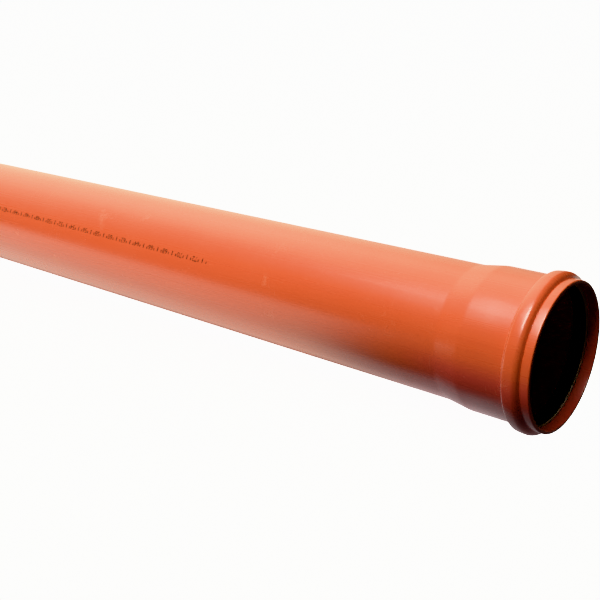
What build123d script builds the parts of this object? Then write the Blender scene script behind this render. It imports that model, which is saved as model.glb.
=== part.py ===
from build123d import *
import os
from math import cos, radians, sin, tan

# A belled PVC-U drain pipe, lying on its side, with a rubber sealing ring in its socket.
# The pipe's axis is level and runs along X, the mouth of the socket faces +X, and the
# origin is on the floor under the middle of the whole length. Lengths are in millimetres,
# angles in degrees.

# Barrel, a plain extruded tube with a bevelled spigot end
outside_diameter = 110.0
wall = 3.2
laying_length = 1000.0
spigot_bevel_length = 6.0
spigot_bevel_angle = 15.0

# Socket, formed on the end of the barrel with a cone between them
socket_clearance = 0.2
socket_wall = 2.9
socket_depth = 60.0
shoulder_length = 20.0
shoulder_rounding = 14.0

# Lip, the short stretch between the mouth and the ring bead. It is a little larger than the
# socket behind the bead, and its bore widens by as much towards the mouth.
lip_length = 6.9
lip_rise = 0.55
rim_outer_rounding = 0.9
rim_inner_rounding = 0.5
neck_rounding = 0.6

# Ring bead, which stands out round the socket and makes the groove inside it. Its crest is
# level at the front and falls towards the back.
bead_height = 4.8
bead_level_length = 6.3
bead_fall_length = 3.9
bead_fall_angle = 9.0
bead_front_angle = 66.0
bead_rear_angle = 56.0
bead_wall = 2.5
bead_front_rounding = 3.4
bead_crest_rounding = 28.0
bead_rear_rounding = 1.6
bead_foot_rounding = 0.8
groove_edge_rounding = 0.6
groove_floor_rounding = 0.6

# Sealing ring: a heel that fills the groove, and a lip pressed out to the size of the
# spigot that it seals, with a notch between them that lets the lip bend
seal_gap = 0.3
seal_lip_thickness = 1.5
seal_lip_setback = 1.0
nose_taper = 3.2
heel_rounding = 0.7

# The heel's back edge as a share of the groove's height, and the notch's length as a share
# of the lip's
heel_back_share = 0.58
notch_share = 0.55

# Radii and depths that follow from the sizes above. A depth is measured from the mouth
# back along the axis.
barrel_radius = outside_diameter / 2
barrel_bore_radius = barrel_radius - wall
socket_bore_radius = barrel_radius + socket_clearance
socket_outer_radius = socket_bore_radius + socket_wall
lip_radius = socket_outer_radius + lip_rise
bead_radius = socket_outer_radius + bead_height
groove_radius = bead_radius - bead_wall
shoulder_end = socket_depth + shoulder_length
total_length = socket_depth + laying_length
bevel_start = total_length - spigot_bevel_length
spigot_tip_radius = barrel_radius - spigot_bevel_length * tan(radians(spigot_bevel_angle))
mouth_x = total_length / 2
axis_height = bead_radius


def front_flank(radius, inset=0):
    """Depth of the bead's front flank at a radius, or of a face that lies inset under it."""
    rise = radius - socket_outer_radius
    slope = radians(bead_front_angle)
    return lip_length + rise / tan(slope) + inset / sin(slope)


# The bead's outline: up the front flank, along the crest to its bend, down the fall to the
# crest's end, and down the rear flank to the foot
bead_bend = front_flank(bead_radius) + bead_level_length
bead_crest_end = bead_bend + bead_fall_length
bead_end_height = bead_height - bead_fall_length * tan(radians(bead_fall_angle))
bead_rear_foot = bead_crest_end + bead_end_height / tan(radians(bead_rear_angle))


def rear_flank(radius, inset=0):
    """Depth of the bead's rear flank at a radius, or of a face that lies inset under it."""
    rise = radius - socket_outer_radius
    slope = radians(bead_rear_angle)
    return bead_rear_foot - rise / tan(slope) - inset / sin(slope)


def fall(depth, inset=0):
    """Radius of the crest's fall at a depth, or of a face that lies inset under it."""
    slope = radians(bead_fall_angle)
    return bead_radius - (depth - bead_bend) * tan(slope) - inset / cos(slope)


def crest_bend(inset=0):
    """Point where a face that lies inset under the crest bends down."""
    depth = bead_bend - inset * tan(radians(bead_fall_angle) / 2)
    return at(depth, bead_radius - inset)


def crest_end(inset=0):
    """Point where a face that lies inset under the crest's fall meets the rear flank's."""
    climb = tan(radians(bead_rear_angle)) - tan(radians(bead_fall_angle))
    gap = fall(bead_crest_end, inset) - socket_outer_radius
    reach = (rear_flank(socket_outer_radius, inset) - bead_crest_end) * tan(radians(bead_rear_angle))
    depth = bead_crest_end + (reach - gap) / climb
    return at(depth, fall(depth, inset))


def at(depth, radius):
    """Section point that lies depth behind the mouth and radius away from the axis."""
    return (mouth_x - depth, radius)


# The section lies in a plane whose own X axis is the pipe's axis
section_plane = Plane(origin=(0, 0, axis_height), x_dir=(1, 0, 0), z_dir=(0, -1, 0))
pipe_axis = Axis((0, 0, axis_height), (1, 0, 0))

# Pipe: each corner of its section is a point and the radius that rounds it, first along
# the outside from the rim to the spigot, then back along the inside
pipe_corners = [
    (at(0, lip_radius), rim_outer_rounding),
    (at(front_flank(lip_radius), lip_radius), neck_rounding),
    (at(front_flank(bead_radius), bead_radius), bead_front_rounding),
    (crest_bend(), bead_crest_rounding),
    (crest_end(), bead_rear_rounding),
    (at(bead_rear_foot, socket_outer_radius), bead_foot_rounding),
    (at(socket_depth, socket_outer_radius), shoulder_rounding),
    (at(shoulder_end, barrel_radius), shoulder_rounding),
    (at(bevel_start, barrel_radius), 0),
    (at(total_length, spigot_tip_radius), 0),
    (at(total_length, barrel_bore_radius), 0),
    (at(shoulder_end, barrel_bore_radius), shoulder_rounding),
    (at(socket_depth, socket_bore_radius), shoulder_rounding),
    (at(rear_flank(socket_bore_radius, bead_wall), socket_bore_radius), groove_edge_rounding),
    (crest_end(bead_wall), groove_floor_rounding),
    (crest_bend(bead_wall), bead_crest_rounding - bead_wall),
    (at(front_flank(groove_radius, bead_wall), groove_radius), groove_floor_rounding),
    (at(front_flank(socket_bore_radius, bead_wall), socket_bore_radius), groove_edge_rounding),
    (at(0, socket_bore_radius + lip_rise), rim_inner_rounding),
]

with BuildPart() as pipe:
    with BuildSketch(section_plane):
        with BuildLine():
            FilletPolyline(
                [point for point, rounding in pipe_corners],
                radius=[rounding for point, rounding in pipe_corners],
                close=True,
            )
        make_face()
    revolve(axis=pipe_axis)

# Sealing ring: its heel lies one gap inside the groove, and its lip reaches back over the
# rear flank at the radius of a seated spigot
ring_inset = bead_wall + seal_gap
heel_radius = groove_radius - seal_gap
nose_radius = socket_bore_radius + seal_gap
nose_depth = front_flank(nose_radius, ring_inset)
seal_lip_radius = barrel_radius
seal_lip_back_radius = seal_lip_radius + seal_lip_thickness
lip_start = nose_depth + nose_taper
lip_tip = rear_flank(seal_lip_back_radius, ring_inset) - seal_lip_setback
heel_back_radius = seal_lip_radius + heel_back_share * (heel_radius - seal_lip_radius)
notch_bottom = lip_tip - notch_share * (lip_tip - nose_depth)

ring_corners = [
    (at(nose_depth, nose_radius), 0),
    (at(front_flank(heel_radius, ring_inset), heel_radius), heel_rounding),
    (crest_bend(ring_inset), bead_crest_rounding - ring_inset),
    (crest_end(ring_inset), heel_rounding),
    (at(rear_flank(heel_back_radius, ring_inset), heel_back_radius), 0),
    (at(notch_bottom, seal_lip_back_radius), 0),
    (at(lip_tip, seal_lip_back_radius), 0),
    (at(lip_tip, seal_lip_radius), 0),
    (at(lip_start, seal_lip_radius), 0),
]

with BuildPart() as sealing_ring:
    with BuildSketch(section_plane):
        with BuildLine():
            FilletPolyline(
                [point for point, rounding in ring_corners],
                radius=[rounding for point, rounding in ring_corners],
                close=True,
            )
        make_face()
    revolve(axis=pipe_axis)

pipe.part.label = "pipe"
sealing_ring.part.label = "sealing_ring"

os.makedirs("parts", exist_ok=True)
export_step(pipe.part, "parts/pipe.step")
export_step(sealing_ring.part, "parts/sealing_ring.step")
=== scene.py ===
import logging
import math
from collections.abc import Sequence
from dataclasses import dataclass, field
from enum import Enum

import bmesh
import bpy
from bmesh.types import BMesh, BMVert
from bpy.types import Material, Node, NodeOutputs, NodeSocket, NodeTree, Object
from mathutils import Matrix, Vector


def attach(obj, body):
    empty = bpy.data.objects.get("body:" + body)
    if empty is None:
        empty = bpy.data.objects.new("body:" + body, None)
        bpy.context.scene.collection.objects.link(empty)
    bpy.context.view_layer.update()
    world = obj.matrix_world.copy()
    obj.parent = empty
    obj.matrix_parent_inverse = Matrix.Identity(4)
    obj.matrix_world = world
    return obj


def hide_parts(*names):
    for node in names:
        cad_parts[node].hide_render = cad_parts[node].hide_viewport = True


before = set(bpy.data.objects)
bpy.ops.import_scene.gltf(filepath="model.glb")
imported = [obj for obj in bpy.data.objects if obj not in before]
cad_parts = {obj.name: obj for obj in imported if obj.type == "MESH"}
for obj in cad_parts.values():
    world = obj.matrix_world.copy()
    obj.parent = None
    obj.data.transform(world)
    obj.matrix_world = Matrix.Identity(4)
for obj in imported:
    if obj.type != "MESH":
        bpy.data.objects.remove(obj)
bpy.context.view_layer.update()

# A length of belled plastic drain pipe with its rubber sealing ring, dressed for a studio
# picture. Lengths are in metres and angles in degrees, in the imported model's own frame:
# the pipe's axis is level along X, the socket's mouth faces +X and the floor is at Z = 0.

LOG = logging.getLogger("drain_pipe")

# The mouth's plane and the axis' height, which every section below is measured from
MOUTH_X = 0.530
AXIS_HEIGHT = 0.0629

# Three plain numbers
Colour = tuple[float, float, float]
Place = tuple[float, float, float]

# The two ends of a range, and the same with the value that each end is mapped to
Range = tuple[float, float]
Ramp = tuple[float, float, float, float]

# Names of a node group's sockets
Names = tuple[str, ...]

# Where most of a noise texture's values lie, and their middle
NOISE_RANGE: Range = (0.3, 0.7)
NOISE_MIDDLE = 0.5

# Centimetres in a metre
CENTIMETRES = 100.0


class Slot(Enum):
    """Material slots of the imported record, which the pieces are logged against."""

    PIPE = "pipe"
    SEAL = "seal"


class Mark(Enum):
    """Marks of the printed length scale, each with its share of the full height."""

    NUMBER = 1.0
    TALL = 0.9
    SHORT = 0.5


# --- Turned sections --------------------------------------------------------------------


@dataclass(frozen=True)
class Corner:
    """A corner of a turned section."""

    depth: float  # Distance behind the mouth along the axis
    radius: float  # Distance from the axis
    rounding: float  # Radius of the arc that rounds it

    def point(self) -> Vector:
        """Returns the corner's place in the plane of the section."""
        return Vector((MOUTH_X - self.depth, 0.0, AXIS_HEIGHT + self.radius))


@dataclass
class TurnedPiece:
    """A closed section spun about the pipe's axis."""

    steps: int = 160  # Faces round the axis
    arc_step: float = 6.0  # Turn that one face of a rounded corner takes
    arc_least: int = 3  # Fewest faces of a rounded corner
    longest_run: float = 0.030  # Longest face along a straight stretch
    sharp_angle: float = 20.0  # Turn between faces above which an edge is sharp
    merge_distance: float = 1e-7  # Within which vertices become one

    def corners(self) -> list[Corner]:
        """Returns the section's corners in order round the outline."""
        raise NotImplementedError

    def build(self, name: str) -> Object:
        """Makes the spun mesh and its object.

        Args:
            name: Name of the new object.

        Returns:
            The object, at the origin, with its place in its mesh.
        """
        bm = bmesh.new()
        corners = self.corners()
        marks = [bm.verts.new(corner.point()) for corner in corners]
        for first, second in zip(marks, marks[1:] + marks[:1]):
            bm.edges.new((first, second))
        for index, mark in enumerate(marks):
            self._round_corner(bm, mark, corners, index)
        self._divide_runs(bm)
        bmesh.ops.spin(
            bm,
            geom=bm.verts[:] + bm.edges[:],
            cent=(0.0, 0.0, AXIS_HEIGHT),
            axis=(1.0, 0.0, 0.0),
            angle=math.tau,
            steps=self.steps,
            use_merge=True,
        )
        bmesh.ops.remove_doubles(bm, verts=bm.verts[:], dist=self.merge_distance)
        bmesh.ops.recalc_face_normals(bm, faces=bm.faces[:])
        return finished_object(bm, name, self.sharp_angle)

    def _round_corner(
        self, bm: BMesh, mark: BMVert, corners: Sequence[Corner], index: int
    ) -> None:
        """Rounds one corner of the wire outline.

        Args:
            bm: Mesh that holds the outline.
            mark: The corner's vertex.
            corners: The section's corners in order.
            index: Which of them the corner is.
        """
        here = corners[index].point()
        back = (corners[index - 1].point() - here).normalized()
        ahead = (corners[(index + 1) % len(corners)].point() - here).normalized()
        turn = math.pi - back.angle(ahead)
        bmesh.ops.bevel(
            bm,
            geom=[mark],
            offset=corners[index].rounding * math.tan(turn / 2.0),
            offset_type="ABSOLUTE",
            segments=max(self.arc_least, round(math.degrees(turn) / self.arc_step)),
            profile=0.5,
            affect="VERTICES",
            material=-1,
            clamp_overlap=False,
        )

    def _divide_runs(self, bm: BMesh) -> None:
        """Divides the long straight stretches, so that shading stays true along them.

        Args:
            bm: Mesh that holds the outline.
        """
        runs: dict[int, list[bmesh.types.BMEdge]] = {}
        for edge in bm.edges:
            cuts = math.ceil(edge.calc_length() / self.longest_run) - 1
            if cuts > 0:
                runs.setdefault(cuts, []).append(edge)
        for cuts, edges in runs.items():
            bmesh.ops.subdivide_edges(bm, edges=edges, cuts=cuts)


def finished_object(bm: BMesh, name: str, sharp_angle: float = 30.0) -> Object:
    """Turns a bmesh into a smooth-shaded object in the scene.

    Args:
        bm: The finished bmesh, which is freed.
        name: Name of the object and of its mesh.
        sharp_angle: Turn between faces above which their edge is shaded as sharp.

    Returns:
        The new object, at the origin, unturned and unscaled.
    """
    mesh = bpy.data.meshes.new(name)
    bm.to_mesh(mesh)
    bm.free()
    mesh.shade_smooth()
    mesh.set_sharp_from_angle(angle=math.radians(sharp_angle))
    piece = bpy.data.objects.new(name, mesh)
    bpy.context.scene.collection.objects.link(piece)
    return piece


# --- Wiring of materials ----------------------------------------------------------------


def opaque(colour: object) -> object:
    """Returns a colour with its alpha added, or the socket it was given."""
    return (*colour, 1.0) if isinstance(colour, tuple) else colour


class NodeBench:
    """A node tree while it is wired, with short ways to add what the finishes use.

    Where a method takes an object, it is a plain value or the socket that gives it.
    """

    def __init__(self, tree: NodeTree) -> None:
        """Takes the tree to work on."""
        self.tree = tree

    def fill(self, node: Node, inputs: dict[str | int, object]) -> None:
        """Feeds the inputs of a node.

        Args:
            node: The node.
            inputs: What each input gets, by its name or number; None leaves it as it is.
        """
        for key, source in inputs.items():
            if isinstance(source, NodeSocket):
                self.tree.links.new(source, node.inputs[key])
            elif source is not None:
                node.inputs[key].default_value = source

    def add(
        self, kind: str, inputs: dict[str | int, object] | None = None, **settings: object
    ) -> Node:
        """Adds a node.

        Args:
            kind: The node's type name.
            inputs: What its inputs get, as in fill.
            settings: Properties of the node by name.

        Returns:
            The new node.
        """
        node = self.tree.nodes.new(kind)
        for name, value in settings.items():
            setattr(node, name, value)
        self.fill(node, inputs or {})
        return node

    def place(self) -> NodeSocket:
        """Returns the Object coordinates of the surface."""
        return self.add("ShaderNodeTexCoord").outputs["Object"]

    def normal(self) -> NodeSocket:
        """Returns the surface's normal."""
        return self.add("ShaderNodeNewGeometry").outputs["Normal"]

    def part(self, vector: NodeSocket, axis: str) -> NodeSocket:
        """Returns a vector's part along one axis."""
        return self.add("ShaderNodeSeparateXYZ", {0: vector}).outputs[axis]

    def mapped(
        self,
        point: NodeSocket,
        scale: object = (1.0, 1.0, 1.0),
        location: object = (0.0, 0.0, 0.0),
    ) -> NodeSocket:
        """Stretches a point and then moves it."""
        inputs = {"Vector": point, "Scale": scale, "Location": location}
        return self.add("ShaderNodeMapping", inputs).outputs["Vector"]

    def noise(
        self,
        point: NodeSocket,
        scale: object,
        detail: float = 2.0,
        roughness: float = 0.5,
        distortion: float = 0.0,
    ) -> NodeSocket:
        """Adds a noise texture.

        Args:
            point: Where the noise is read.
            scale: Features a metre.
            detail: Octaves added to the first.
            roughness: Strength of each octave against the one before.
            distortion: How far the noise is bent by itself.

        Returns:
            The noise as a value around one half.
        """
        inputs = {
            "Vector": point,
            "Scale": scale,
            "Detail": detail,
            "Roughness": roughness,
            "Distortion": distortion,
        }
        return self.add("ShaderNodeTexNoise", inputs).outputs["Fac"]

    def maths(self, operation: str, first: object, second: object = None) -> NodeSocket:
        """Works out one operation of the Math node."""
        inputs = {0: first, 1: second}
        return self.add("ShaderNodeMath", inputs, operation=operation).outputs["Value"]

    def times(self, first: object, second: object) -> NodeSocket:
        """Multiplies two numbers."""
        return self.maths("MULTIPLY", first, second)

    def dot(self, first: object, second: object) -> NodeSocket:
        """Returns the dot product of two vectors."""
        kind, inputs = "ShaderNodeVectorMath", {0: first, 1: second}
        return self.add(kind, inputs, operation="DOT_PRODUCT").outputs["Value"]

    def spread(
        self,
        value: object,
        low: float,
        high: float,
        out_low: float = 0.0,
        out_high: float = 1.0,
        smooth: bool = False,
    ) -> NodeSocket:
        """Maps a value from one range to another, and holds it there.

        Args:
            value: The value to map.
            low: Input at one end.
            high: Input at the other end, which may be the lower number.
            out_low: Result at the first end.
            out_high: Result at the other.
            smooth: Whether the change eases in and out.

        Returns:
            The mapped value.
        """
        inputs = {
            "Value": value,
            "From Min": low,
            "From Max": high,
            "To Min": out_low,
            "To Max": out_high,
        }
        kind = "SMOOTHSTEP" if smooth else "LINEAR"
        node = self.add("ShaderNodeMapRange", inputs, interpolation_type=kind, clamp=True)
        return node.outputs["Result"]

    def blend(self, share: object, first: object, second: object) -> NodeSocket:
        """Mixes two colours by the second one's share."""
        inputs = {0: share, 6: opaque(first), 7: opaque(second)}
        return self.add("ShaderNodeMix", inputs, data_type="RGBA").outputs[2]

    def between(self, share: object, first: object, second: object) -> NodeSocket:
        """Mixes two numbers by the second one's share."""
        inputs = {0: share, 2: first, 3: second}
        return self.add("ShaderNodeMix", inputs, data_type="FLOAT").outputs[0]

    def mixed(self, share: object, first: NodeSocket, second: NodeSocket) -> NodeSocket:
        """Mixes two shaders by the second one's share."""
        inputs = {0: share, 1: first, 2: second}
        return self.add("ShaderNodeMixShader", inputs).outputs["Shader"]

    def bump(
        self, height: NodeSocket, distance: float, below: NodeSocket | None = None
    ) -> NodeSocket:
        """Returns the normal of a relief, distance high, that lies on another."""
        inputs = {"Height": height, "Strength": 1.0, "Distance": distance}
        return self.add("ShaderNodeBump", {**inputs, "Normal": below}).outputs["Normal"]

    def group(self, effect: "Effect", **values: float) -> NodeOutputs:
        """Places the node group of an effect.

        Args:
            effect: The effect.
            values: Values for its inputs, with spaces in their names as underscores.

        Returns:
            The group's outputs.
        """
        inputs = {
            name.replace("_", " ").capitalize(): value for name, value in values.items()
        }
        return self.add("ShaderNodeGroup", inputs, node_tree=effect.tree()).outputs


@dataclass(frozen=True)
class Effect:
    """A surface effect shared by several materials, kept as one shader node group."""

    name: str
    inputs: Names
    outputs: Names

    def tree(self) -> NodeTree:
        """Finds the node group, and makes it the first time.

        Returns:
            The group's tree.
        """
        found = bpy.data.node_groups.get(self.name)
        if found is not None:
            return found
        tree = bpy.data.node_groups.new(self.name, "ShaderNodeTree")
        for way, names in (("INPUT", self.inputs), ("OUTPUT", self.outputs)):
            for name in names:
                kind = "NodeSocketFloat"
                tree.interface.new_socket(name=name, in_out=way, socket_type=kind)
        bench = NodeBench(tree)
        made = self.wire(bench, bench.add("NodeGroupInput").outputs)
        bench.add("NodeGroupOutput", dict(zip(self.outputs, made)))
        return tree

    def wire(self, bench: NodeBench, given: NodeOutputs) -> Sequence[NodeSocket]:
        """Wires the effect.

        Args:
            bench: The group's tree.
            given: The group's inputs.

        Returns:
            What each output gives, in order.
        """
        raise NotImplementedError


@dataclass(frozen=True)
class DrawLines(Effect):
    """Faint lines along the pipe, left by the die that it was drawn through."""

    name: str = "draw_lines"
    inputs: Names = ("Across", "Along")
    outputs: Names = ("Tone", "Height")
    broad_share: float = 0.6
    fine_share: float = 0.4

    def wire(self, bench: NodeBench, given: NodeOutputs) -> Sequence[NodeSocket]:
        """Wires broad and fine lines that run along the axis; see Effect.wire."""
        parts = {"X": given["Along"], "Y": given["Across"], "Z": given["Across"]}
        stretch = bench.add("ShaderNodeCombineXYZ", parts).outputs["Vector"]
        point = bench.mapped(bench.place(), stretch)
        broad = bench.noise(point, scale=0.22, detail=1.0)
        fine = bench.noise(point, scale=1.0, detail=3.0, roughness=0.6)
        broad = bench.times(broad, self.broad_share)
        height = bench.maths("ADD", broad, bench.times(fine, self.fine_share))
        return bench.spread(height, *NOISE_RANGE), height


@dataclass(frozen=True)
class HandlingMarks(Effect):
    """Hair scratches along and round the part, and small rubbed patches."""

    name: str = "handling_marks"
    inputs: Names = ("Size", "Cover")
    outputs: Names = ("Scratches", "Scuffs")
    # Stretch and shift of the noise of each direction of scratches
    ways: tuple[tuple[Place, Place], ...] = (
        ((22.0, 620.0, 620.0), (3.1, 0.0, 0.0)),
        ((900.0, 16.0, 16.0), (0.0, 7.7, 1.3)),
    )
    hair: Ramp = (0.0, 0.006, 1.0, 0.0)  # How a scratch fades from its middle
    bare: float = 0.78  # Noise that shows scratches at no cover
    bared: float = 0.4  # How far the cover lowers that
    patch: Range = (0.62, 0.74)  # Noise in which the rubbed patches grow
    grit: Range = (0.42, 0.6)  # Noise that breaks them up

    def wire(self, bench: NodeBench, given: NodeOutputs) -> Sequence[NodeSocket]:
        """Wires two directions of scratches and the rubbed patches; see Effect.wire."""
        place = bench.place()
        bared = bench.times(given["Cover"], self.bared)
        limit = bench.maths("SUBTRACT", self.bare, bared)
        lines = []
        for stretch, shift in self.ways:
            point = bench.mapped(place, stretch, shift)
            wave = bench.noise(point, given["Size"], detail=1.0, distortion=0.35)
            near = bench.maths("ABSOLUTE", bench.maths("SUBTRACT", wave, NOISE_MIDDLE))
            sparse = bench.noise(bench.mapped(place, location=shift), scale=26.0)
            kept = bench.maths("GREATER_THAN", sparse, limit)
            lines.append(bench.times(bench.spread(near, *self.hair), kept))
        point = bench.mapped(place, location=(5.0, 2.0, 9.0))
        cloud = bench.noise(point, scale=34.0, detail=4.0, roughness=0.62)
        patch = bench.spread(cloud, *self.patch, smooth=True)
        grit = bench.spread(bench.noise(place, scale=900.0), *self.grit)
        return bench.maths("MAXIMUM", *lines), bench.times(patch, grit)


@dataclass(frozen=True)
class SettledDust(Effect):
    """Fine pale dust, thickest where the surface looks up."""

    name: str = "settled_dust"
    inputs: Names = ("Speck size",)
    outputs: Names = ("Film", "Specks")
    upward: Range = (-0.35, 1.0)  # Normal's Z over which the dust grows
    cloud: Range = (0.3, 0.8)  # Noise in which its film grows
    speck: Range = (0.76, 0.8)  # Noise in which its specks grow
    speck_scale: float = 1300.0  # Specks a metre at a speck size of one

    def wire(self, bench: NodeBench, given: NodeOutputs) -> Sequence[NodeSocket]:
        """Wires an even film and single specks; see Effect.wire."""
        place = bench.place()
        upward = bench.spread(bench.part(bench.normal(), "Z"), *self.upward)
        cloud = bench.noise(place, scale=18.0, detail=4.0, roughness=0.6)
        film = bench.times(upward, bench.spread(cloud, *self.cloud))
        size = bench.times(given["Speck size"], self.speck_scale)
        speck = bench.spread(bench.noise(place, size, detail=0.0), *self.speck)
        return film, bench.times(speck, film)


@dataclass(frozen=True)
class MouldGrain(Effect):
    """The slight pebble of a moulded or calibrated surface."""

    name: str = "mould_grain"
    inputs: Names = ("Scale",)
    outputs: Names = ("Tone", "Height")

    def wire(self, bench: NodeBench, given: NodeOutputs) -> Sequence[NodeSocket]:
        """Wires a small pebble and a slow change of tone; see Effect.wire."""
        place = bench.place()
        slow = bench.noise(place, scale=9.0, detail=3.0)
        return bench.spread(slow, *NOISE_RANGE), bench.noise(place, given["Scale"])


# --- Finishes ---------------------------------------------------------------------------


@dataclass(frozen=True)
class Finish:
    """A material of the part."""

    name: str
    colour: Colour  # Base colour where nothing changes it
    roughness: float
    ior: float  # Index of refraction

    def material(self) -> Material:
        """Makes the finish's material.

        Returns:
            The new material.
        """
        material = bpy.data.materials.new(self.name)
        material.use_nodes = True
        material.node_tree.nodes.clear()
        bench = NodeBench(material.node_tree)
        shader = bench.add("ShaderNodeBsdfPrincipled")
        shader.inputs["IOR"].default_value = self.ior
        shader.inputs["Roughness"].default_value = self.roughness
        shader.inputs["Base Color"].default_value = opaque(self.colour)
        self.dress(bench, shader)
        bench.add("ShaderNodeOutputMaterial", {"Surface": self.surface(bench, shader)})
        material.diffuse_color = opaque(self.colour)
        return material

    def dress(self, bench: NodeBench, shader: Node) -> None:
        """Wires what makes the finish its own.

        Args:
            bench: The material's tree.
            shader: Its Principled BSDF.
        """
        raise NotImplementedError

    def surface(self, bench: NodeBench, shader: Node) -> NodeSocket:
        """Picks what the surface shows, usually the Principled BSDF as it is.

        Args:
            bench: The material's tree.
            shader: Its Principled BSDF.

        Returns:
            The shader to show.
        """
        return shader.outputs["BSDF"]

    def put_on(self, piece: Object) -> None:
        """Gives a piece this finish."""
        piece.data.materials.append(self.material())


@dataclass(frozen=True)
class PipePlastic(Finish):
    """Extruded PVC-U in orange brown: satin, with draw lines, light handling marks and
    painted shade inside and under the socket.
    """

    name: str = "orange_brown_pvc"
    colour: Colour = (0.50, 0.0960, 0.047)
    roughness: float = 0.27
    ior: float = 1.54
    deep_colour: Colour = (0.47, 0.0865, 0.042)  # Where the draw lines are darkest
    heated_colour: Colour = (0.43, 0.076, 0.062)  # Painted shade inside and under the socket
    rubbed_colour: Colour = (0.58, 0.22, 0.13)  # Scratches and rubbed patches
    dust_colour: Colour = (0.58, 0.32, 0.22)  # Under a full film of dust
    cloud_share: float = 0.12  # Of the deep colour, in slow clouds
    scratch_share: float = 0.20  # Of the rubbed colour
    scuff_share: float = 0.45  # Of the same, in rubbed patches
    film_share: float = 0.05  # Of the dust's colour
    speck_share: float = 0.3  # Of the same, in specks
    swing: float = 0.03  # Change of roughness by the draw lines, either way
    worn_roughness: float = 0.5  # What full wear adds
    skin: Ramp = (0.472, 0.486, 0.12, 0.28)  # Gloss skin's weight, more on the socket
    coat_roughness: float = 0.08
    coat_ior: float = 1.5  # Index of refraction of the skin
    under: Ramp = (-0.22, 0.12, 1.0, 0.0)  # Painted shade's share over the normal's Z, on the underside
    inside: Ramp = (-0.04, -0.02, 1.0, 0.0)  # The same over normal times radius, on the inside
    near: Range = (0.40, 0.47)  # Where along the pipe the painted shade begins
    line_height: float = 0.000006
    grain_height: float = 0.000004
    worn_height: float = 0.000010

    def dress(self, bench: NodeBench, shader: Node) -> None:
        """Wires the draw lines, marks, dust, painted shade and fine relief; see
        Finish.dress.
        """
        lines = bench.group(DrawLines(), across=240.0, along=1.2)
        grain = bench.group(MouldGrain(), scale=700.0)
        marks = bench.group(HandlingMarks(), size=1.0, cover=0.45)
        dust = bench.group(SettledDust(), speck_size=1.0)
        scratches = bench.times(marks["Scratches"], self.scratch_share)
        scuffs = bench.times(marks["Scuffs"], self.scuff_share)
        worn = bench.maths("MAXIMUM", scratches, scuffs)
        film = bench.times(dust["Film"], self.film_share)
        specks = bench.times(dust["Specks"], self.speck_share)

        tone = bench.blend(lines["Tone"], self.deep_colour, self.colour)
        for share, colour in (
            (bench.times(grain["Tone"], self.cloud_share), self.deep_colour),
            # Painted shade: a deeper colour inside and under the socket
            (self.heated(bench), self.heated_colour),
            (worn, self.rubbed_colour),
            (bench.maths("MAXIMUM", film, specks), self.dust_colour),
        ):
            tone = bench.blend(share, tone, colour)

        limits = self.roughness + self.swing, self.roughness - self.swing
        gloss = bench.spread(lines["Tone"], 0.0, 1.0, *limits)
        rougher = bench.times(worn, self.worn_roughness)

        normal = None
        for height, distance in (
            (lines["Height"], self.line_height),
            (grain["Height"], self.grain_height),
            (worn, self.worn_height),
        ):
            normal = bench.bump(height, distance, normal)

        shader.inputs["Coat Roughness"].default_value = self.coat_roughness
        shader.inputs["Coat IOR"].default_value = self.coat_ior
        inputs = {
            "Base Color": tone,
            "Roughness": bench.maths("ADD", gloss, rougher),
            "Coat Weight": bench.spread(bench.part(bench.place(), "X"), *self.skin),
            "Normal": normal,
            "Coat Normal": normal,
        }
        bench.fill(shader, inputs)

    def heated(self, bench: NodeBench) -> NodeSocket:
        """Finds where shade is painted into the colour, inside and under the socket.

        Args:
            bench: The material's tree.

        Returns:
            One inside and under the socket, zero on the rest of the pipe.
        """
        normal, place = bench.normal(), bench.place()
        under = bench.spread(bench.part(normal, "Z"), *self.under, smooth=True)
        radius = bench.mapped(place, (0.0, 1.0, 1.0), (0.0, 0.0, -AXIS_HEIGHT))
        inside = bench.spread(bench.dot(normal, radius), *self.inside)
        near = bench.spread(bench.part(place, "X"), *self.near, smooth=True)
        return bench.times(bench.maths("MAXIMUM", under, inside), near)


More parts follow.
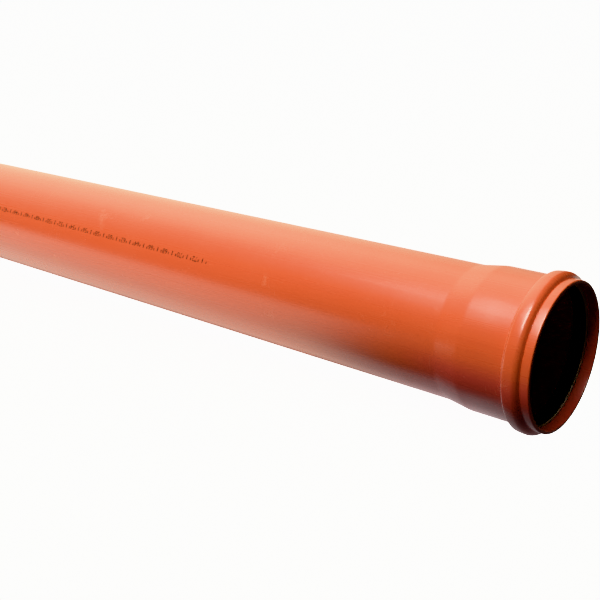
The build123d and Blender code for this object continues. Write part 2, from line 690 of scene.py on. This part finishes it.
@dataclass(frozen=True)
class SealRubber(Finish):
    """Black moulded rubber with a faint bloom, and a painted highlight on its front edge.
    """

    name: str = "seal_rubber"
    colour: Colour = (0.016, 0.018, 0.018)
    roughness: float = 0.44
    ior: float = 1.42
    bloom_colour: Colour = (0.040, 0.046, 0.044)  # Where the bloom is thickest
    worn_colour: Colour = (0.10, 0.10, 0.095)  # Rubbed patches and specks of dust
    edge_colour: Colour = (0.80, 0.66, 0.58)  # Painted highlight on the ring's front edge
    edge_depth: float = 0.0096  # Where the painted highlight ends, behind the mouth
    edge_blend: float = 0.0003  # Over which the painted highlight begins, either way
    bloom_share: float = 0.5
    scuff_share: float = 0.4  # Of the worn colour
    speck_share: float = 0.6  # Of the same
    swing: Range = (-0.04, 0.08)  # Change of roughness by the bloom, down and up
    grain_height: float = 0.000020

    def dress(self, bench: NodeBench, shader: Node) -> None:
        """Wires the mould grain, bloom, dust and the painted highlight on the front edge;
        see Finish.dress.
        """
        grain = bench.group(MouldGrain(), scale=1500.0)
        marks = bench.group(HandlingMarks(), size=1.6, cover=0.3)
        dust = bench.group(SettledDust(), speck_size=1.4)
        bloom = bench.times(grain["Tone"], self.bloom_share)
        scuffs = bench.times(marks["Scuffs"], self.scuff_share)
        specks = bench.times(dust["Specks"], self.speck_share)
        worn = bench.maths("MAXIMUM", scuffs, specks)
        tone = bench.blend(bloom, self.colour, self.bloom_colour)
        tone = bench.blend(worn, tone, self.worn_colour)
        # Painted highlight: the mask below gives the ring's front, ahead of the
        # highlight's depth, a pale colour
        edge = MOUTH_X - self.edge_depth
        limits = edge - self.edge_blend, edge + self.edge_blend
        rubbed = bench.spread(bench.part(bench.place(), "X"), *limits, smooth=True)
        limits = self.roughness + self.swing[0], self.roughness + self.swing[1]
        gloss = bench.spread(grain["Tone"], 0.0, 1.0, *limits)
        inputs = {
            "Base Color": bench.blend(rubbed, tone, self.edge_colour),
            "Roughness": bench.maths("ADD", gloss, worn),
            "Normal": bench.bump(grain["Height"], self.grain_height),
        }
        bench.fill(shader, inputs)


@dataclass(frozen=True)
class MarkingInk(Finish):
    """Dark red-brown ink, thinly printed on the pipe and slightly rubbed."""

    name: str = "marking_ink"
    colour: Colour = (0.035, 0.008, 0.006)
    roughness: float = 0.42
    ior: float = 1.5
    worn_colour: Colour = (0.22, 0.04, 0.012)  # Plastic that shows through thin ink
    worn_roughness: float = 0.34
    thin: Range = (0.60, 0.72)  # Grain in which the ink thins
    grain_height: float = 0.000006

    def dress(self, bench: NodeBench, shader: Node) -> None:
        """Wires the ink's cover, which thins in places; see Finish.dress."""
        grain = bench.group(MouldGrain(), scale=1800.0)
        marks = bench.group(HandlingMarks(), size=1.0, cover=0.6)
        thin = bench.spread(grain["Height"], *self.thin)
        thin = bench.maths("MAXIMUM", thin, marks["Scratches"])
        gloss = bench.spread(thin, 0.0, 1.0, self.roughness, self.worn_roughness)
        inputs = {
            "Base Color": bench.blend(thin, self.colour, self.worn_colour),
            "Roughness": gloss,
            "Normal": bench.bump(grain["Height"], self.grain_height),
        }
        bench.fill(shader, inputs)


@dataclass(frozen=True)
class StudioPaper(Finish):
    """The pale paper sweep that the part lies on.

    The camera sees plain paper. The part is lit from below as by paper that ends in
    front of the mouth, so the underside darkens towards the socket.
    """

    name: str = "studio_paper"
    colour: Colour = (0.86, 0.86, 0.86)
    roughness: float = 0.85
    ior: float = 1.4
    cloud_colour: Colour = (0.80, 0.80, 0.80)
    cloud: Ramp = (0.3, 0.7, 0.0, 0.03)  # Their share over the noise
    specular: float = 0.2
    bounce_colour: Colour = (1.0, 0.98, 0.85)  # Light that comes off the paper
    front: Ramp = (-0.030, -0.055, 1.1, 1.55)  # That light, from close by to in front
    far: Ramp = (-0.2, -0.8, 1.0, 0.04)  # Its share into the distance
    close: Ramp = (0.012, 0.030, 0.25, 1.0)  # Its share from under the part outwards
    dark_colour: Colour = (1.0, 0.95, 0.97)  # Light off what lies before the mouth
    unlit: Ramp = (-0.050, -0.075, 0.8, 0.08)  # That light, from close by to in front
    mouth: Ramp = (0.46, 0.565, 1.0, 0.03)  # Its share along the pipe, forwards
    beyond: Range = (0.31, 0.44)  # Where the paper gives way to it
    slant: float = 0.55  # How far that moves with the distance across
    backlit: float = 0.8  # Share of the paper in view that is lit from behind
    backlight: float = 4.0  # Brightness of that light

    def dress(self, bench: NodeBench, shader: Node) -> None:
        """Wires the paper's very faint cloud; see Finish.dress."""
        shader.inputs["Specular IOR Level"].default_value = self.specular
        cloud = bench.noise(bench.place(), scale=6.0, detail=3.0)
        cloud = bench.spread(cloud, *self.cloud)
        tone = bench.blend(cloud, self.colour, self.cloud_colour)
        bench.fill(shader, {"Base Color": tone})

    def surface(self, bench: NodeBench, shader: Node) -> NodeSocket:
        """Shows paper to the camera and its light to the part; see Finish.surface."""
        place = bench.place()
        across, along = bench.part(place, "Y"), bench.part(place, "X")
        lit = bench.spread(across, *self.front, smooth=True)
        lit = bench.times(lit, bench.spread(across, *self.far, smooth=True))
        beside = bench.maths("ABSOLUTE", across)
        lit = bench.times(lit, bench.spread(beside, *self.close, smooth=True))
        unlit = bench.spread(across, *self.unlit, smooth=True)
        unlit = bench.times(unlit, bench.spread(along, *self.mouth, smooth=True))
        edge = bench.maths("SUBTRACT", along, bench.times(across, self.slant))
        beyond = bench.spread(edge, *self.beyond, smooth=True)
        light = {
            "Color": bench.blend(beyond, self.bounce_colour, self.dark_colour),
            "Strength": bench.between(beyond, lit, unlit),
        }
        glow = bench.add("ShaderNodeEmission", light)
        bright = bench.add("ShaderNodeEmission")
        bright.inputs["Strength"].default_value = self.backlight
        seen = bench.mixed(self.backlit, shader.outputs["BSDF"], bright.outputs[0])
        camera_ray = bench.add("ShaderNodeLightPath").outputs["Is Camera Ray"]
        return bench.mixed(camera_ray, glow.outputs[0], seen)


# --- The part's pieces ------------------------------------------------------------------


@dataclass
class DrainPipe(TurnedPiece):
    """The pipe: barrel, cone, socket, ring bead, neck and lip in one piece of plastic."""

    barrel_radius: float = 0.0550  # Outside
    wall: float = 0.0032  # Of the barrel
    length: float = 1.060  # From the mouth to the spigot's end
    spigot_bevel_length: float = 0.006
    spigot_bevel_angle: float = 15.0
    socket_bore_radius: float = 0.0552
    socket_wall: float = 0.0029
    socket_depth: float = 0.060  # From the mouth to the cone
    shoulder_length: float = 0.020  # Of the cone between socket and barrel
    shoulder_rounding: float = 0.026  # At both ends of the cone
    lip_length: float = 0.0069  # From the mouth to the ring bead's foot
    lip_rise: float = 0.00055  # Over the rest of the socket
    bead_height: float = 0.0048  # Over the socket
    level_length: float = 0.0063  # Of the front of the bead's crest
    fall_length: float = 0.0039  # Of the back of the crest
    fall_angle: float = 9.0
    front_angle: float = 66.0  # Slope of the bead's front flank
    rear_angle: float = 56.0  # Slope of its rear flank
    bead_wall: float = 0.0025
    step: float = 0.0004  # From the lip's end to the bead's foot
    rim_rounding: float = 0.0009  # Outside
    mouth_rounding: float = 0.0005  # The rim's inside
    neck_rounding: float = 0.0006  # The lip's end
    step_rounding: float = 0.0003  # The front flank's foot
    front_rounding: float = 0.0045  # The bead's front edge
    crest_rounding: float = 0.0280  # Where the crest bends down
    rear_rounding: float = 0.0016  # The bead's rear edge
    foot_rounding: float = 0.0008  # The rear flank's foot
    groove_rounding: float = 0.0006  # The groove's edges and floor
    bevel_rounding: float = 0.0004  # Where the bevel begins
    tip_rounding: float = 0.0002  # The spigot's end, outside
    end_rounding: float = 0.0003  # The same, inside

    @property
    def socket_radius(self) -> float:
        """Outside radius of the socket."""
        return self.socket_bore_radius + self.socket_wall

    @property
    def bead_radius(self) -> float:
        """Outside radius of the bead's crest."""
        return self.socket_radius + self.bead_height

    @property
    def groove_radius(self) -> float:
        """Inside radius of the groove under the bead."""
        return self.bead_radius - self.bead_wall

    def front_flank(self, radius: float, inset: float = 0.0) -> float:
        """Returns the depth of the bead's front flank, or of a face inset under it."""
        slope, rise = math.radians(self.front_angle), radius - self.socket_radius
        return self.lip_length + rise / math.tan(slope) + inset / math.sin(slope)

    @property
    def bend(self) -> float:
        """Depth at which the bead's crest bends down."""
        return self.front_flank(self.bead_radius) + self.level_length

    def rear_flank(self, radius: float, inset: float = 0.0) -> float:
        """Finds the bead's rear flank, or a face that lies under it.

        Args:
            radius: Distance from the axis.
            inset: How far under the flank the face lies.

        Returns:
            The depth behind the mouth.
        """
        slope = math.radians(self.rear_angle)
        drop = self.fall_length * math.tan(math.radians(self.fall_angle))
        rise = self.bead_radius - drop - radius
        crest_end = self.bend + self.fall_length
        return crest_end + rise / math.tan(slope) - inset / math.sin(slope)

    def crest_bend(self, inset: float = 0.0) -> tuple[float, float]:
        """Returns the depth and radius of the crest's bend, or of one inset under it."""
        half = math.radians(self.fall_angle) / 2.0
        return self.bend - inset * math.tan(half), self.bead_radius - inset

    def crest_end(self, inset: float = 0.0) -> tuple[float, float]:
        """Finds where the crest meets the rear flank, or faces that lie under both.

        Args:
            inset: How far under them the faces lie.

        Returns:
            The depth and the radius.
        """
        fall, rear = math.radians(self.fall_angle), math.radians(self.rear_angle)
        depth, radius = self.crest_bend(inset)
        height = (self.rear_flank(radius, inset) - depth) * math.tan(rear)
        along = height / (math.tan(rear) - math.tan(fall))
        return depth + along, radius - along * math.tan(fall)

    def corners(self) -> list[Corner]:
        """Lists the corners of the pipe's section.

        Returns:
            The outside from rim to spigot, then the inside back to the rim.
        """
        outer, bore = self.socket_radius, self.socket_bore_radius
        bead, groove, wall = self.bead_radius, self.groove_radius, self.bead_wall
        lip = outer + self.lip_rise
        barrel, barrel_bore = self.barrel_radius, self.barrel_radius - self.wall
        shoulder_end = self.socket_depth + self.shoulder_length
        bevel = self.spigot_bevel_length
        tip = barrel - bevel * math.tan(math.radians(self.spigot_bevel_angle))
        return [
            Corner(0.0, lip, self.rim_rounding),
            Corner(self.lip_length - self.step, lip, self.neck_rounding),
            Corner(self.front_flank(outer), outer, self.step_rounding),
            Corner(self.front_flank(bead), bead, self.front_rounding),
            Corner(*self.crest_bend(), self.crest_rounding),
            Corner(*self.crest_end(), self.rear_rounding),
            Corner(self.rear_flank(outer), outer, self.foot_rounding),
            Corner(self.socket_depth, outer, self.shoulder_rounding),
            Corner(shoulder_end, barrel, self.shoulder_rounding),
            Corner(self.length - bevel, barrel, self.bevel_rounding),
            Corner(self.length, tip, self.tip_rounding),
            Corner(self.length, barrel_bore, self.end_rounding),
            Corner(shoulder_end, barrel_bore, self.shoulder_rounding),
            Corner(self.socket_depth, bore, self.shoulder_rounding),
            Corner(self.rear_flank(bore, wall), bore, self.groove_rounding),
            Corner(*self.crest_end(wall), self.groove_rounding),
            Corner(*self.crest_bend(wall), self.crest_rounding - wall),
            Corner(self.front_flank(groove, wall), groove, self.groove_rounding),
            Corner(self.front_flank(bore, wall), bore, self.groove_rounding),
            Corner(0.0, bore + self.lip_rise, self.mouth_rounding),
        ]

    def make(self, plastic: Finish) -> None:
        """Builds and dresses the pipe in place of its CAD node.

        Args:
            plastic: The finish of the pipe.
        """
        piece = self.build("belled_pipe")
        plastic.put_on(piece)
        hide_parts("pipe")
        settle(piece, Slot.PIPE)


@dataclass
class SealingRing(TurnedPiece):
    """The rubber ring in the socket's groove, with its lip as it stands before use."""

    pipe: DrainPipe = field(default_factory=DrainPipe)  # Whose groove holds the ring
    gap: float = 0.0003  # Between ring and groove
    lip_radius: float = 0.0530  # Inside, at the lip's free edge
    lip_thickness: float = 0.0015
    lip_setback: float = 0.0012  # From the groove's rear flank
    heel_back_share: float = 0.58  # Of the heel's height
    heel_rounding: float = 0.0007
    crest_rounding: float = 0.0250  # Where the heel bends down
    notch_share: float = 0.55  # Of the lip's length
    notch_rise: float = 0.0013  # Outwards from the lip
    notch_rounding: float = 0.0006
    edge_rounding: float = 0.0004  # The nose's and the lip's outer edges
    tip_rounding: float = 0.0005  # The lip's inner edge
    throat: Range = (0.0034, 0.0011)  # Behind the front, and inside its radius
    throat_rounding: float = 0.0030
    nose: Range = (0.0001, 0.0014)  # The same for the nose's inner edge
    fine_rounding: float = 0.0003  # That edge and the heel's back edge

    def corners(self) -> list[Corner]:
        """Lists the corners of the ring's section.

        Returns:
            The heel from nose to back, then the notch and the lip.
        """
        pipe = self.pipe
        inset = pipe.bead_wall + self.gap
        heel = pipe.groove_radius - self.gap
        radius = pipe.socket_bore_radius + self.gap
        front = pipe.front_flank(radius, inset)
        back_radius = self.lip_radius + self.lip_thickness
        tip = pipe.rear_flank(pipe.socket_bore_radius, inset) - self.lip_setback
        back = pipe.barrel_radius + self.heel_back_share * (heel - pipe.barrel_radius)
        notch = tip - self.notch_share * (tip - front)
        (throat, throat_drop), (nose, nose_drop) = self.throat, self.nose
        return [
            Corner(front, radius, self.edge_rounding),
            Corner(pipe.front_flank(heel, inset), heel, self.heel_rounding),
            Corner(*pipe.crest_bend(inset), self.crest_rounding),
            Corner(*pipe.crest_end(inset), self.heel_rounding),
            Corner(pipe.rear_flank(back, inset), back, self.fine_rounding),
            Corner(notch, back_radius + self.notch_rise, self.notch_rounding),
            Corner(tip, back_radius, self.edge_rounding),
            Corner(tip, self.lip_radius, self.tip_rounding),
            Corner(front + throat, radius - throat_drop, self.throat_rounding),
            Corner(front + nose, radius - nose_drop, self.fine_rounding),
        ]

    def make(self, rubber: Finish) -> None:
        """Builds and dresses the ring in place of its CAD node.

        Args:
            rubber: The finish of the ring.
        """
        piece = self.build("rubber_ring")
        rubber.put_on(piece)
        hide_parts("sealing_ring")
        settle(piece, Slot.SEAL)


@dataclass
class PrintedScale:
    """A plain length scale printed along the barrel, counted from the spigot's end.

    The numbers give centimetres. Their feet point up the pipe's side, so that they read
    right from behind it.
    """

    radius: float = 0.0550  # Of the barrel
    start_x: float = -0.530  # The spigot's end
    length: float = 0.738
    angle: float = 25.0  # Up the barrel from its -Y side
    height: float = 0.0046  # Of a full mark
    number_step: float = 0.020
    tick_step: float = 0.005
    tick_width: float = 0.0010
    film: float = 0.00003  # Height of the ink on the plastic
    first_tick: int = 2  # Steps from the start
    number_size: float = 1.5  # Share of the full height
    curve_steps: int = 2  # Along each curve of a number
    merge_distance: float = 1e-6  # Within which vertices become one

    def marks(self) -> list[tuple[Mark, float, int]]:
        """Lists the marks of the scale.

        Returns:
            The kind of each mark, its distance from the start and its whole centimetres.
        """
        listed = []
        per_number = round(self.number_step / self.tick_step)
        for index in range(self.first_tick, int(self.length / self.tick_step) + 1):
            along = index * self.tick_step
            if index % per_number == 0:
                kind = Mark.NUMBER
            elif index % 2 == 0:
                kind = Mark.TALL
            else:
                kind = Mark.SHORT
            listed.append((kind, along, round(along * CENTIMETRES)))
        return listed

    def tick(self, bm: BMesh, kind: Mark, along: float) -> None:
        """Adds one tick, flat.

        Args:
            bm: Mesh that takes the tick.
            kind: Which tick it is.
            along: Its distance from the start of the scale.
        """
        tall = self.height * kind.value
        lift = (self.height - tall) / -2.0
        bmesh.ops.create_grid(
            bm,
            x_segments=1,
            y_segments=4,
            size=0.5,
            matrix=Matrix.Translation((along, lift, 0.0))
            @ Matrix.Diagonal((self.tick_width, tall, 1.0, 1.0)),
        )

    def number(self, bm: BMesh, along: float, centimetres: int) -> None:
        """Adds one number, flat.

        Args:
            bm: Mesh that takes the number.
            along: Its distance from the start of the scale.
            centimetres: The number to print.
        """
        text = bpy.data.curves.new("scale_number", "FONT")
        text.body = str(centimetres)
        text.size = self.height * self.number_size
        text.align_x = "CENTER"
        text.align_y = "CENTER"
        text.resolution_u = self.curve_steps
        holder = bpy.data.objects.new("scale_number", text)
        bpy.context.scene.collection.objects.link(holder)
        graph = bpy.context.evaluated_depsgraph_get()
        mesh = bpy.data.meshes.new_from_object(holder.evaluated_get(graph))
        turned = Matrix.Rotation(math.pi, 4, "Z")
        mesh.transform(Matrix.Translation((along, 0.0, 0.0)) @ turned)
        bm.from_mesh(mesh)
        bpy.data.objects.remove(holder)
        bpy.data.curves.remove(text)
        bpy.data.meshes.remove(mesh)

    def wrap(self, bm: BMesh) -> None:
        """Lays the flat print round the barrel.

        Args:
            bm: The flat print, its X along the pipe and its Y round it.
        """
        middle = math.radians(self.angle)
        for vert in bm.verts:
            turn = middle + vert.co.y / self.radius
            reach = self.radius + vert.co.z
            across, up = -reach * math.cos(turn), reach * math.sin(turn)
            vert.co = Vector((self.start_x + vert.co.x, across, AXIS_HEIGHT + up))

    def make(self, ink: Finish) -> None:
        """Builds and dresses the scale.

        Args:
            ink: The finish of the print.
        """
        bm = bmesh.new()
        for kind, along, centimetres in self.marks():
            if kind is Mark.NUMBER:
                self.number(bm, along, centimetres)
            else:
                self.tick(bm, kind, along)
        bmesh.ops.remove_doubles(bm, verts=bm.verts[:], dist=self.merge_distance)
        bmesh.ops.recalc_face_normals(bm, faces=bm.faces[:])
        skin = bmesh.ops.extrude_face_region(bm, geom=bm.faces[:])
        raised = [item for item in skin["geom"] if isinstance(item, BMVert)]
        bmesh.ops.translate(bm, verts=raised, vec=(0.0, 0.0, self.film))
        self.wrap(bm)
        bmesh.ops.recalc_face_normals(bm, faces=bm.faces[:])
        piece = finished_object(bm, "length_scale")
        ink.put_on(piece)
        settle(piece, Slot.PIPE)


def settle(piece: Object, slot: Slot) -> None:
    """Fixes a piece to the part's one body and logs its record slot.

    Args:
        piece: The piece.
        slot: The record's material slot.
    """
    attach(piece, "root")
    LOG.info("%s: %d faces, slot %s", piece.name, len(piece.data.polygons), slot.value)


# --- Studio -----------------------------------------------------------------------------


@dataclass(frozen=True)
class SoftBox:
    """A rectangular soft light."""

    name: str
    place: Place
    target: Place  # What it looks at
    width: float
    height: float
    power: float  # Watts
    tint: Colour = (1.0, 0.985, 0.87)

    def hang(self) -> None:
        """Hangs the light in the studio, hidden from the camera."""
        data = bpy.data.lights.new(self.name, "AREA")
        data.shape = "RECTANGLE"
        data.size = self.width
        data.size_y = self.height
        data.energy = self.power
        data.color = self.tint
        light = bpy.data.objects.new(self.name, data)
        light.location = self.place
        aim = Vector(self.target) - Vector(self.place)
        light.rotation_euler = aim.to_track_quat("-Z", "Y").to_euler()
        light.visible_camera = False
        bpy.context.scene.collection.objects.link(light)


def heading(azimuth: float, elevation: float) -> Vector:
    """Finds the direction of a light.

    Args:
        azimuth: Degrees from +X towards +Y.
        elevation: Degrees above the floor.

    Returns:
        The unit vector towards it.
    """
    turn, rise = math.radians(azimuth), math.radians(elevation)
    level = math.cos(rise)
    return Vector((level * math.cos(turn), level * math.sin(turn), math.sin(rise)))


@dataclass(frozen=True)
class Glow:
    """A soft round light on the room's walls and ceiling."""

    azimuth: float  # Of its middle, from +X towards +Y
    elevation: float  # Of its middle, above the floor
    inner: float  # Out to which it is full
    outer: float  # Where it ends
    strength: float  # Radiance

    def wire(self, bench: NodeBench, way: NodeSocket) -> NodeSocket:
        """Wires the light into the room.

        Args:
            bench: The room's tree.
            way: Direction that is looked in.

        Returns:
            The light's radiance in that direction.
        """
        nearness = bench.dot(way, heading(self.azimuth, self.elevation))
        edge = math.cos(math.radians(self.outer))
        full = math.cos(math.radians(self.inner))
        return bench.spread(nearness, edge, full, 0.0, self.strength, smooth=True)


@dataclass(frozen=True)
class Studio:
    """Camera, paper floor, soft boxes and the even light of the room."""

    camera_place: Place = (0.7990, -0.6216, 0.3279)
    camera_aim: Place = (-0.6115, 0.7231, -0.3212)  # The way it looks
    lens: float = 56.95  # In millimetres
    sensor: float = 36.0  # In millimetres across
    clip: Range = (0.01, 200.0)  # Nearest and farthest that it sees
    floor_size: float = 60.0
    floor_drop: float = 0.0001  # Below zero
    backdrop: float = 4.0  # Brightness of what the camera sees
    backdrop_colour: Colour = (1.0, 1.0, 1.0)
    room_light: float = 0.01  # Even light from all sides
    glows: tuple[Glow, ...] = (  # On the room's walls and ceiling
        Glow(157.0, 18.0, 8.0, 54.0, 1.75),
        Glow(152.0, 58.0, 4.0, 32.0, 1.15),
    )
    glow_colour: Colour = (1.0, 1.02, 0.70)
    boxes: tuple[SoftBox, ...] = (
        SoftBox("key_box", (0.05, -2.00, 3.60), (0.05, 0.0, 0.10), 1.9, 2.2, 298.0),
        SoftBox("window_box", (-0.63, -1.52, 3.63), (0.48, 0.0, 0.10), 2.4, 1.8, 42.0),
    )

    def set_camera(self) -> None:
        """Sets up the scene's camera, at the photograph's viewing angle."""
        data = bpy.data.cameras.new("studio_camera")
        data.lens = self.lens
        data.sensor_width = self.sensor
        data.clip_start, data.clip_end = self.clip
        camera = bpy.data.objects.new("studio_camera", data)
        camera.location = self.camera_place
        aim = Vector(self.camera_aim)
        camera.rotation_euler = aim.to_track_quat("-Z", "Y").to_euler()
        bpy.context.scene.collection.objects.link(camera)
        bpy.context.scene.camera = camera

    def lay_floor(self, paper: Finish) -> None:
        """Lays the floor.

        Args:
            paper: Its finish.
        """
        bm = bmesh.new()
        bmesh.ops.create_grid(
            bm,
            x_segments=8,
            y_segments=8,
            size=self.floor_size / 2.0,
            matrix=Matrix.Translation((0.0, 0.0, -self.floor_drop)),
        )
        floor = finished_object(bm, "paper_floor")
        paper.put_on(floor)

    def light_room(self) -> None:
        """Wires the light of the room's walls and ceiling, and hangs the soft boxes."""
        world = bpy.data.worlds.new("studio_room")
        world.use_nodes = True
        world.node_tree.nodes.clear()
        bench = NodeBench(world.node_tree)
        way = bench.add("ShaderNodeTexCoord").outputs["Generated"]
        total = self.room_light
        for glow in self.glows:
            total = bench.maths("ADD", total, glow.wire(bench, way))
        camera_ray = bench.add("ShaderNodeLightPath").outputs["Is Camera Ray"]
        light = {
            "Color": bench.blend(camera_ray, self.glow_colour, self.backdrop_colour),
            "Strength": bench.between(camera_ray, total, self.backdrop),
        }
        walls = bench.add("ShaderNodeBackground", light)
        bench.add("ShaderNodeOutputWorld", {"Surface": walls.outputs["Background"]})
        bpy.context.scene.world = world
        for box in self.boxes:
            box.hang()

    def set_up(self, paper: Finish) -> None:
        """Sets up the whole studio.

        Args:
            paper: The finish of the floor.
        """
        self.set_camera()
        self.lay_floor(paper)
        self.light_room()
        bpy.context.scene.view_settings.view_transform = "Khronos PBR Neutral"
        LOG.info("studio set up with %d soft boxes", len(self.boxes))


def main() -> None:
    """Sets up the studio, then builds the part's pieces in order."""
    logging.basicConfig(level=logging.INFO, format="%(name)s: %(message)s")
    Studio().set_up(StudioPaper())
    pipe = DrainPipe()
    pipe.make(PipePlastic())
    SealingRing(pipe=pipe).make(SealRubber())
    PrintedScale(radius=pipe.barrel_radius).make(MarkingInk())


if __name__ == "__main__":
    main()
